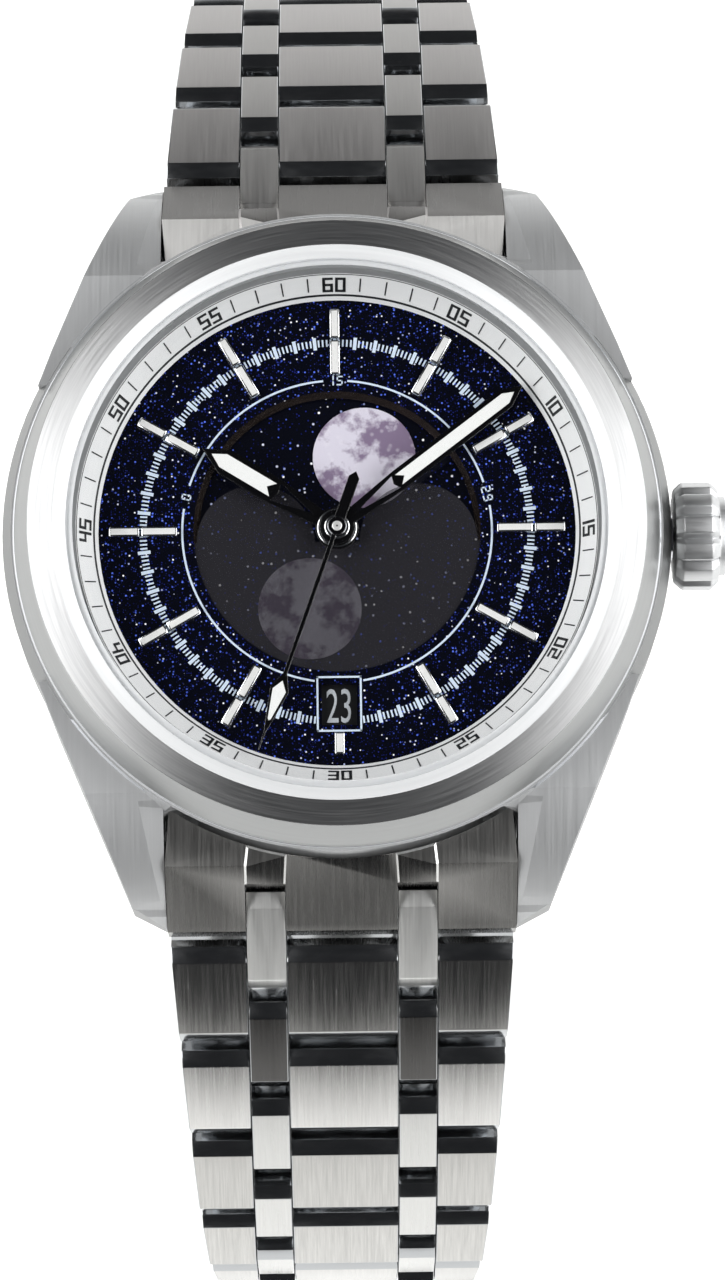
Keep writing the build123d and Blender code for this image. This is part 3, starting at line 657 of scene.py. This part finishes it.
# Moon print: a pale lilac face with soft dark seas and light specks.
moon_print, tree, shader = new_finish("printed_moon", "e4dcec", 0.55)
spot = add_node(tree, "ShaderNodeTexCoord").outputs["Object"]
sea_mm, crater_mm = 2.3, 0.55
seas = add_node(tree, "ShaderNodeTexNoise",
                {"Vector": spot, "Scale": 1 / (sea_mm * mm), "Detail": 5.0, "Roughness": 0.62})
fade = add_node(tree, "ShaderNodeMapRange",
                {"Value": seas.outputs["Fac"], "From Min": 0.47, "From Max": 0.57})
ground_tone = add_node(tree, "ShaderNodeMix", {"Factor": fade.outputs["Result"],
                                               "A": linear("dcd8e6"), "B": linear("84738f")},
                       data_type="RGBA")
craters = add_node(tree, "ShaderNodeTexVoronoi", {"Vector": spot, "Scale": 1 / (crater_mm * mm)},
                   feature="SMOOTH_F1")
rays = add_node(tree, "ShaderNodeMapRange",
                {"Value": craters.outputs["Distance"], "From Min": 0.05, "From Max": 0.3,
                 "To Min": 0.35, "To Max": 0.0})
moon_tone = add_node(tree, "ShaderNodeMix", {"Factor": rays.outputs["Result"],
                                             "A": ground_tone.outputs["Result"],
                                             "B": linear("efecf6")}, data_type="RGBA")
tree.links.new(moon_tone.outputs["Result"], shader.inputs["Base Color"])
nodes["moons"].material_slots[0].material = moon_print


# Date. A black ring under the dial with the days in narrow pale figures,
# the 23rd in the window at 6 o'clock.

# Black lacquer: a dark, even ground behind the figures.
date_black, tree, shader = new_finish("black_date_ring_lacquer", "0c0d0f", 0.4)
toned(tree, shader, round_lines(tree, 0.3, 8.0), tones=("08090a", "15161a"))
nodes["date_ring"].material_slots[0].material = date_black
# Grey ink: figures a little dimmer than the scales round them.
date_ink, tree, shader = new_finish("grey_date_ink", "c4cad0", 0.5)
toned(tree, shader, straight_lines(tree, (0.15, 0.15, 0.15)), tones=("b4bac0", "d6dbe0"))
figures_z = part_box("date_ring")[1][2] + ink_lift * mm
figure_size, figure_narrowing, figure_drop = 3.1, 0.55, 1.06
day_in_window = 23
figures = bmesh.new()
for day in range(1, 32):
    letters = bpy.data.curves.new("day_letters", "FONT")
    letters.body = str(day)
    letters.size = figure_size * mm
    letters.align_x = "CENTER"
    letters.resolution_u = 3
    holder = bpy.data.objects.new("day_letters", letters)
    flat = bpy.data.meshes.new_from_object(holder)
    clock = (day - day_in_window) * 360 / 31
    place = (Matrix.Rotation(math.radians(clock), 4, "Z")
             @ Matrix.Translation((0, (window_y - figure_drop) * mm, figures_z)))
    flat.transform(place @ Matrix.Diagonal((figure_narrowing, 1, 1, 1)))
    figures.from_mesh(flat)
    bpy.data.objects.remove(holder)
day_figures = new_piece("day_figures", figures, [date_ink])
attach(day_figures, "date_wheel")


# Movement. The movement and its holder, in rhodium-plated brass. The holder's
# rim carries the dial, and a centre tube reaches through it.

# Rhodium plating: a warm grey sheen, lighter than the steel.
plated, tree, shader = new_finish("rhodium_plated_brass", "bdb9ae", 0.3, 1.0)
brushed(tree, shader, straight_lines(tree, (0.3, 3.0, 3.0)), depth_mm=0.003,
        rough=(0.24, 0.36), tones=("aaa69c", "cdc9be"))
nodes["movement"].material_slots[0].material = plated


# Hands. Black lacquered swords with a notched white filling, pierced near
# the hub, pressed on polished pipes; a needle with a lozenge for seconds.

# Lacquer: a deep black with a soft gloss.
hand_lacquer, tree, shader = new_finish("black_lacquered_hand", "08080a", 0.16, 0.0,
                                        Specular_IOR_Level=0.5)
hazed(tree, shader, straight_lines(tree, (0.4, 0.4, 0.4)), rough=(0.12, 0.24))
# Luminous filling: flat white, slightly grainy, with no shine.
lume_white, tree, shader = new_finish("white_luminous_filling", "f5f7f5", 0.6)
toned(tree, shader, straight_lines(tree, (0.12, 0.12, 0.12)), tones=("eceeec", "fcfdfc"),
      detail=3.0)
# Polished edge: a thin grey line that outlines each hand.
hand_edge, tree, shader = new_finish("polished_hand_edge", "8a8b8e", 0.25, 1.0)
brushed(tree, shader, straight_lines(tree, (0.3, 0.3, 0.3)), depth_mm=0.001,
        rough=(0.2, 0.3), tones=("7c7d80", "9a9b9e"))
for hand, body in (("hour", "hours"), ("minute", "minutes")):
    blade = eased_copy(hand + "_blade", hand + "_hand", [hand_lacquer, hand_edge],
                       lambda normal, centre: 1 if 0.25 < normal.z < 0.8 else 0, ease_mm=0.04)
    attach(blade, body)
    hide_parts(hand + "_hand")
    nodes[hand + "_lume"].material_slots[0].material = lume_white


def cut_from_sheet(name, outline, foot, top, clock_deg, finishes, ease_mm):
    """A thin flat piece with an outline of (across, outward) points, turned to a clock angle."""
    shape = bmesh.new()
    corners = [shape.verts.new((x * mm, y * mm, foot * mm)) for x, y in outline]
    blank = shape.faces.new(corners)
    wall = bmesh.ops.extrude_face_region(shape, geom=[blank])
    raised = [part for part in wall["geom"] if isinstance(part, bmesh.types.BMVert)]
    bmesh.ops.translate(shape, verts=raised, vec=(0, 0, (top - foot) * mm))
    bmesh.ops.recalc_face_normals(shape, faces=shape.faces)
    near_top = (top - 0.001) * mm
    rim = [edge for edge in shape.edges if all(vert.co.z > near_top for vert in edge.verts)]
    bmesh.ops.bevel(shape, geom=rim, offset=ease_mm * mm, offset_type="OFFSET", affect="EDGES",
                    segments=2, profile=0.5, material=-1, clamp_overlap=True)
    shape.normal_update()
    for face in shape.faces:
        face.material_index = 1 if len(finishes) > 1 and 0.25 < face.normal.z < 0.8 else 0
    bmesh.ops.rotate(shape, verts=shape.verts, cent=(0, 0, 0),
                     matrix=Matrix.Rotation(-math.radians(clock_deg), 3, "Z"))
    return new_piece(name, shape, finishes)


low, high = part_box("second_hand")
needle_foot, needle_top = low[2] / mm, high[2] / mm
needle_clock = 199.6
needle = cut_from_sheet(
    "second_needle",
    [(-0.15, 0.3), (-0.13, 9.9), (-0.6, 11.0), (-0.14, 13.5), (-0.08, 13.7), (-0.04, 14.95),
     (0.04, 14.95), (0.08, 13.7), (0.14, 13.5), (0.6, 11.0), (0.13, 9.9), (0.15, 0.3),
     (0.35, -0.3), (0.35, -3.3), (0.0, -3.7), (-0.35, -3.3), (-0.35, -0.3)],
    needle_foot, needle_top, needle_clock, [hand_lacquer, hand_edge], ease_mm=0.03)
lozenge_foot, lozenge_top = needle_foot + 0.02, needle_top + 0.025
lozenge = cut_from_sheet(
    "second_lozenge",
    [(0.0, 10.4), (-0.43, 11.05), (-0.1, 12.95), (0.0, 13.05), (0.1, 12.95), (0.43, 11.05)],
    lozenge_foot, lozenge_top, needle_clock, [lume_white], ease_mm=0.02)
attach(needle, "seconds")
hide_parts("second_hand")
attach(lozenge, "seconds")
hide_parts("second_lume")
# Polished pipes: bright rings round the middle, one inside the other.
pipe_steel, tree, shader = new_finish("polished_pipe_steel", "dfe1e4", 0.08, 1.0)
hazed(tree, shader, round_lines(tree, 0.08, 2.0), rough=(0.05, 0.18))
# Satin cap: a small pale dot at the very middle.
cap_steel, tree, shader = new_finish("satin_second_cap_steel", "f2f2f0", 0.4, 0.5)
brushed(tree, shader, round_lines(tree, 0.05, 1.0), depth_mm=0.001,
        rough=(0.34, 0.46), tones=("e8e8e6", "fafaf9"))
flange_h, flange_bevel_h, flange_bevel_w, bore_gap = 0.07, 0.02, 0.05, 0.001
for name, node_name, body, bore, flange in (
        ("hour_collar", "hour_pipe", "hours", 0.55, 1.24),
        ("minute_collar", "cannon_pinion", "minutes", 0.25, 0.78),
        ("second_cap", "second_arbor", "seconds", 0.06, 0.31)):
    low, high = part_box(node_name)
    outer, foot, top = high[0] / mm, low[2] / mm, high[2] / mm
    profile = [(bore + bore_gap, foot), (outer, foot), (outer, top - flange_h),
               (flange, top - flange_h), (flange, top - flange_bevel_h),
               (flange - flange_bevel_w, top), (bore + bore_gap, top)]
    collar = turned_ring(name, profile, [cap_steel if name == "second_cap" else pipe_steel],
                         segments=48)
    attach(collar, body)
    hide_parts(node_name)
hub_in, hub_out, hub_bevel_w, hub_rise = 0.16, 0.6, 0.04, 0.02
needle_hub = turned_ring(
    "second_hub",
    [(hub_in, needle_foot), (hub_out, needle_foot), (hub_out, needle_top),
     (hub_out - hub_bevel_w, needle_top + hub_rise), (hub_in, needle_top + hub_rise)],
    [hand_lacquer, hand_edge],
    lambda radius, height, normal: 1 if 0.2 < normal.z < 0.9 else 0, segments=48)
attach(needle_hub, "seconds")


# Crown. A steel crown with twelve flat-topped lobes and chamfered rims, satin
# like the case, on a steel tube and stem.

# Satin crown: each lobe takes a tone of its own.
crown_steel, tree, shader = new_finish("satin_crown_steel", "d2d3d4", 0.45, 1.0)
brushed(tree, shader, straight_lines(tree, (1.6, 0.12, 0.12)), depth_mm=0.002,
        rough=(0.38, 0.5), tones=("c6c7c8", "dcddde"))
crown_piece = eased_copy("crown_lobes", "crown", [crown_steel], ease_mm=0.14)
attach(crown_piece, "crown")
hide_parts("crown")
for node_name in ("crown_tube", "winding_stem"):
    nodes[node_name].material_slots[0].material = pipe_steel


# End links. Two solid steel links milled to the case's round and brushed along
# the band, with a raised tab over each narrow column. A sprung bar behind each
# holds it in the lugs.
def band_satin(name, tones, rough):
    """Steel brushed along the band, between two tones and two roughnesses."""
    material, tree, shader = new_finish(name, tones[1], 0.3, 1.0)
    brushed(tree, shader, straight_lines(tree, (0.13, 5.0, 5.0)), depth_mm=0.004,
            rough=rough, tones=tones)
    return material


# Near 6: steel with clear streaks, on the slope and on the hood, darkened by painted shade.
end_painted_shade = band_satin("end_link_steel_painted_shade", ("767573", "999896"), (0.2, 0.32))
hood_painted_shade = band_satin("end_link_hood_steel_painted_shade", ("7f7e7c", "a3a2a0"), (0.3, 0.42))
# Near 12: a slope darkened to mid grey by painted shade, and a hood between bezel and lugs
# paled by a painted highlight.
upper_end = band_satin("upper_end_link_steel_painted_shade", ("504f4e", "676665"), (0.24, 0.36))
upper_hood_painted_highlight = band_satin("upper_end_link_hood_painted_highlight", ("dddcda", "f2f1ef"), (0.55, 0.65))
# Lower strand: streaked rows, dark in the first and pale from the second on; the second row
# is paled further by a painted highlight.
narrow_satin = band_satin("narrow_link_brushed_steel", ("b4b4b2", "d4d4d2"), (0.24, 0.36))
wide_satin = band_satin("wide_link_brushed_steel", ("8f8e8c", "d2d1ce"), (0.18, 0.28))
wide_painted_highlight = band_satin("second_wide_link_painted_highlight", ("b0afad", "f0efed"), (0.2, 0.3))
# Upper strand: an even mid grey, with narrow links hardly apart from it.
upper_satin = band_satin("upper_strand_brushed_steel", ("9c9a9a", "b7b5b4"), (0.42, 0.54))
upper_narrow = band_satin("upper_narrow_link_steel", ("939291", "adacab"), (0.42, 0.54))
# First narrow links: pale tabs, a painted highlight. Second ones: dark, a painted shade,
# beside the first bright row.
narrow_painted_highlight = band_satin("first_narrow_link_painted_highlight", ("d2d2d0", "ececea"), (0.4, 0.52))
narrow_painted_shade = band_satin("second_narrow_link_painted_shade", ("4c4b4a", "666564"), (0.2, 0.3))
# Polished bevel: near black bands with a glint, between two rows.
bevel_steel, tree, shader = new_finish("polished_link_bevel_steel", "aeb0b2", 0.14, 1.0)
hazed(tree, shader, straight_lines(tree, (1.2, 0.4, 0.4)), rough=(0.1, 0.22))
# Underside: plain satin that lies on the wrist.
under_satin = band_satin("link_underside_steel", ("9c9c9b", "bcbcba"), (0.3, 0.42))
narrow_in, narrow_out = 3.5 * mm, 6.05 * mm


def seated_end(shape):
    """The end link drawn up to the bezel, with a raised tab over each narrow column."""
    old_r, new_r, drawn_foot = 21.25 * mm, 20.5 * mm, 5.2 * mm
    tab_end, tab_border, tab_rise = 22.4 * mm, 0.14 * mm, 0.13 * mm
    for across in (-narrow_out, -narrow_in, narrow_in, narrow_out):
        bmesh.ops.bisect_plane(shape, geom=all_parts(shape), dist=weld,
                               plane_co=(across, 0, 0), plane_no=(1, 0, 0))
    for vert in shape.verts:
        radius = math.hypot(vert.co.x, vert.co.y)
        if radius < old_r and vert.co.z > drawn_foot:
            vert.co.x, vert.co.y = vert.co.x * new_r / radius, vert.co.y * new_r / radius
    shape.normal_update()
    for column in (1, -1):
        tab = [face for face in shape.faces
               if face.normal.z > 0.3
               and narrow_in < column * face.calc_center_median().x < narrow_out
               and abs(face.calc_center_median().y) < tab_end]
        if tab:
            bmesh.ops.inset_region(shape, faces=tab, thickness=tab_border, depth=tab_rise,
                                   use_boundary=True, use_even_offset=True)


# Each end link's faces take painted tones of one steel: shade on the slope, a highlight where it
# leans to the bezel, and a hood paled near 12 and darkened near 6.
for side, sign, finishes in (("12", 1, [upper_end, upper_satin, upper_hood_painted_highlight]),
                             ("6", -1, [end_painted_shade, narrow_painted_highlight, hood_painted_shade])):

    def end_finish(normal, centre):
        """A brighter painted tone where it leans to the bezel or sideways, the hood's painted tone
        on the flat, the brushed slope's painted shade beyond.
        """
        if normal.z > 0.2 and (normal.y * sign < -0.12 or abs(normal.x) > 0.3):
            return 1
        return 2 if abs(normal.y) < 0.52 else 0

    end_piece = eased_copy("end_piece_" + side, "end_link_" + side, finishes, end_finish,
                           ease_mm=0.16, reshape=seated_end)
    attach(end_piece, "head")
    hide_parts("end_link_" + side)
nodes["spring_bars"].material_slots[0].material = pipe_steel


# Bracelet. Seven rows on each side: a centre and two outer links with a
# narrow link between, half a pitch behind. Tops are brushed, bevels polished.
joint_places = {joint["name"]: Vector(joint.get("pos_m", (0, 0, 0)))
                for joint in frame["joints"]}
last_slope = math.radians(143)
last_way = {"12": Vector((0, math.cos(last_slope), -math.sin(last_slope))),
            "6": (joint_places["cover_pivot"] - joint_places["pivot_6_7"]).normalized()}
# The lower strand's first narrow row takes a painted highlight, the second a painted shade.
lower_narrow = {1: narrow_painted_highlight, 2: narrow_painted_shade}
for side, sign in (("12", 1), ("6", -1)):
    pins = [joint_places["pivot_%s_%d" % (side, row)] for row in range(1, 8)]
    for row in range(1, 8):
        node_name = "link_%s_%d" % (side, row)
        along = (pins[row] - pins[row - 1]).normalized() if row < 7 else last_way[side]
        outward = Vector((1, 0, 0)).cross(along) * sign

        def link_finish(normal, centre):
            """Brushed on top, narrow links apart (with painted light on the lower strand's first
            two rows), satin beneath and polished elsewhere.
            """
            up = normal.dot(outward)
            narrow = narrow_in < abs(centre.x) < narrow_out
            if up > 0.985:
                return 1 if narrow else 0
            if narrow and row == 1 and up > 0.3:
                return 1
            return 3 if up < -0.9 else 2

        finishes = [upper_satin, upper_narrow]
        # The lower strand's second wide row takes a painted highlight.
        if side == "6":
            finishes = [wide_painted_highlight if row == 2 else wide_satin,
                        lower_narrow.get(row, narrow_satin)]
        row_piece = eased_copy("row_%s_%d" % (side, row), node_name,
                               finishes + [bevel_steel, under_satin], link_finish, ease_mm=0.07)
        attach(row_piece, node_name)
        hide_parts(node_name)


# Clasp. A fold-over clasp: a bowed cover with folded walls, two blades that
# fold under it, and a push button at each side that frees them.

# Brushed cover: lines along the band, as on the links.
clasp_satin = band_satin("clasp_cover_brushed_steel", ("a3a3a2", "c8c8c6"), (0.26, 0.38))
# Polished blades: long soft reflections along the bow.
blade_polish, tree, shader = new_finish("polished_blade_steel", "cdcfd1", 0.14, 1.0)
hazed(tree, shader, straight_lines(tree, (0.5, 2.0, 2.0)), rough=(0.1, 0.2))
for name, node_name, body, finish in (
        ("cover_shell", "clasp_cover", "cover", clasp_satin),
        ("outer_fold_blade", "clasp_outer_blade", "outer_blade", blade_polish),
        ("inner_fold_blade", "clasp_inner_blade", "inner_blade", blade_polish),
        ("release_button_right", "clasp_button_right", "button_right", mirror_steel),
        ("release_button_left", "clasp_button_left", "button_left", mirror_steel)):
    clasp_piece = eased_copy(name, node_name, [finish])
    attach(clasp_piece, body)
    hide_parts(node_name)
